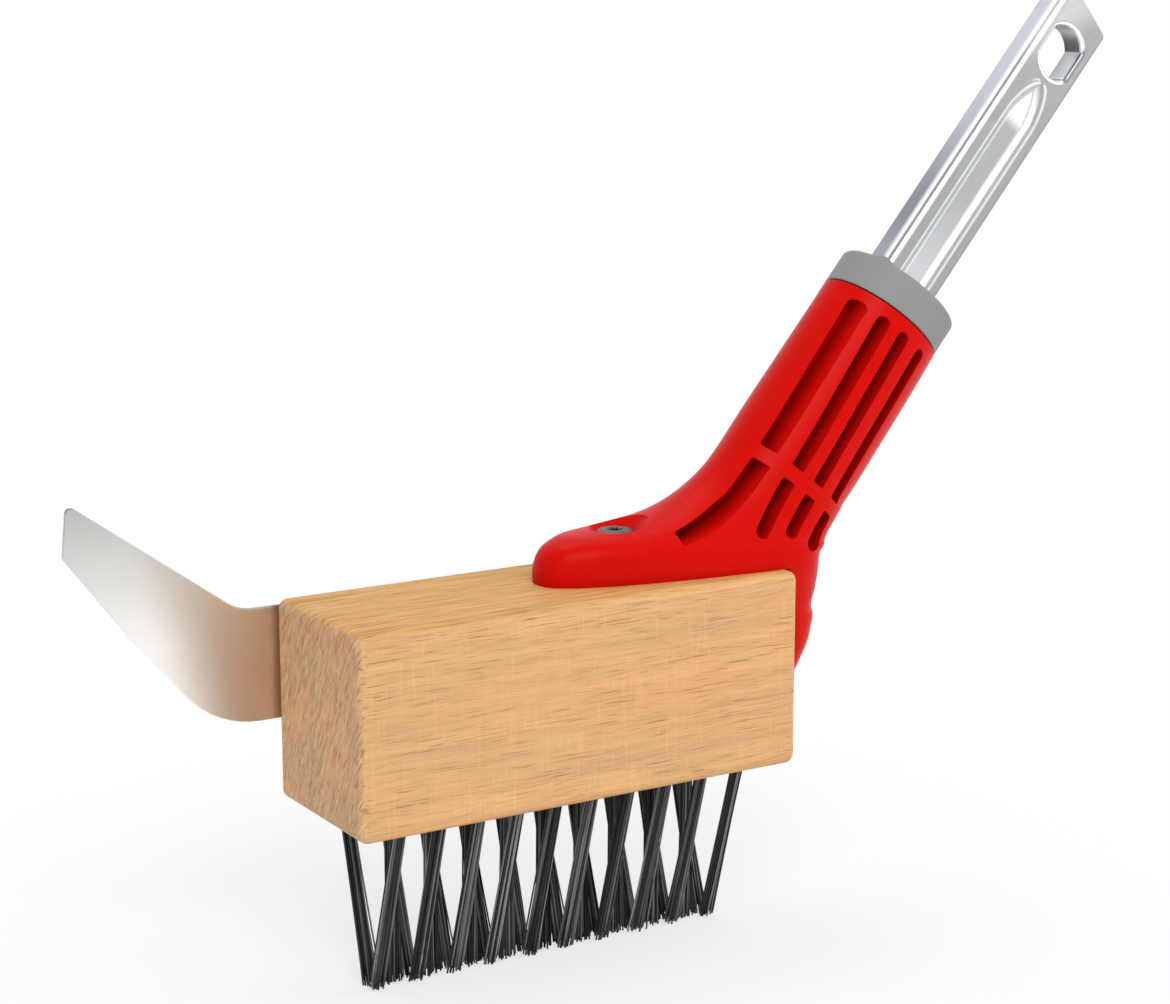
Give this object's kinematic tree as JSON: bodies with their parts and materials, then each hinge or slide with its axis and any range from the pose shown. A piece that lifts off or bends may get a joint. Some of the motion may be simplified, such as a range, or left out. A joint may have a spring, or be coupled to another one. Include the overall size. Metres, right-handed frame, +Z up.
{
  "type": "wire brush head",
  "caption": "Wooden block brush head for paving joints: bristle rows leaning to one line, hooked scraper blade, and a sloping plastic socket with a sheet-steel click-in tang.",
  "frame": {"origin": "middle of the plane that the bristle tips touch, under the middle of the block", "axes": "+X along the block towards the end with the tang, +Y towards the side with the scraper blade, +Z up from the bristle tips to the block and the tang"},
  "size_m": [0.3488, 0.0586, 0.2888],
  "materials": {
    "beech": "bare, sanded",
    "bristle_steel": "dark hardened wire",
    "staple_wire": "bright wire",
    "red_moulding": "satin to glossy moulding",
    "grey_moulding": "matt moulding",
    "galvanised_sheet": "plain zinc-coated sheet",
    "polished_blade": "polished, slightly rough",
    "screw_steel": "dark plated"
  },
  "bodies": {
    "root": {"wood_block": "beech", "front_tuft_01": "bristle_steel", "front_tuft_02": "bristle_steel", "front_tuft_03": "bristle_steel", "front_tuft_04": "bristle_steel", "front_tuft_05": "bristle_steel", "front_tuft_06": "bristle_steel", "front_tuft_07": "bristle_steel", "front_tuft_08": "bristle_steel", "front_tuft_09": "bristle_steel", "front_tuft_10": "bristle_steel", "middle_tuft_01": "bristle_steel", "middle_tuft_02": "bristle_steel", "middle_tuft_03": "bristle_steel", "middle_tuft_04": "bristle_steel", "middle_tuft_05": "bristle_steel", "middle_tuft_06": "bristle_steel", "middle_tuft_07": "bristle_steel", "middle_tuft_08": "bristle_steel", "middle_tuft_09": "bristle_steel", "back_tuft_01": "bristle_steel", "back_tuft_02": "bristle_steel", "back_tuft_03": "bristle_steel", "back_tuft_04": "bristle_steel", "back_tuft_05": "bristle_steel", "back_tuft_06": "bristle_steel", "back_tuft_07": "bristle_steel", "back_tuft_08": "bristle_steel", "back_tuft_09": "bristle_steel", "back_tuft_10": "bristle_steel", "tuft_staples": "staple_wire", "handle_socket": "red_moulding", "socket_collar": "grey_moulding", "tang": "galvanised_sheet", "scraper_blade": "polished_blade", "nose_screw": "screw_steel", "end_screw": "screw_steel", "blade_screws": "screw_steel"}
  },
  "joints": []
}
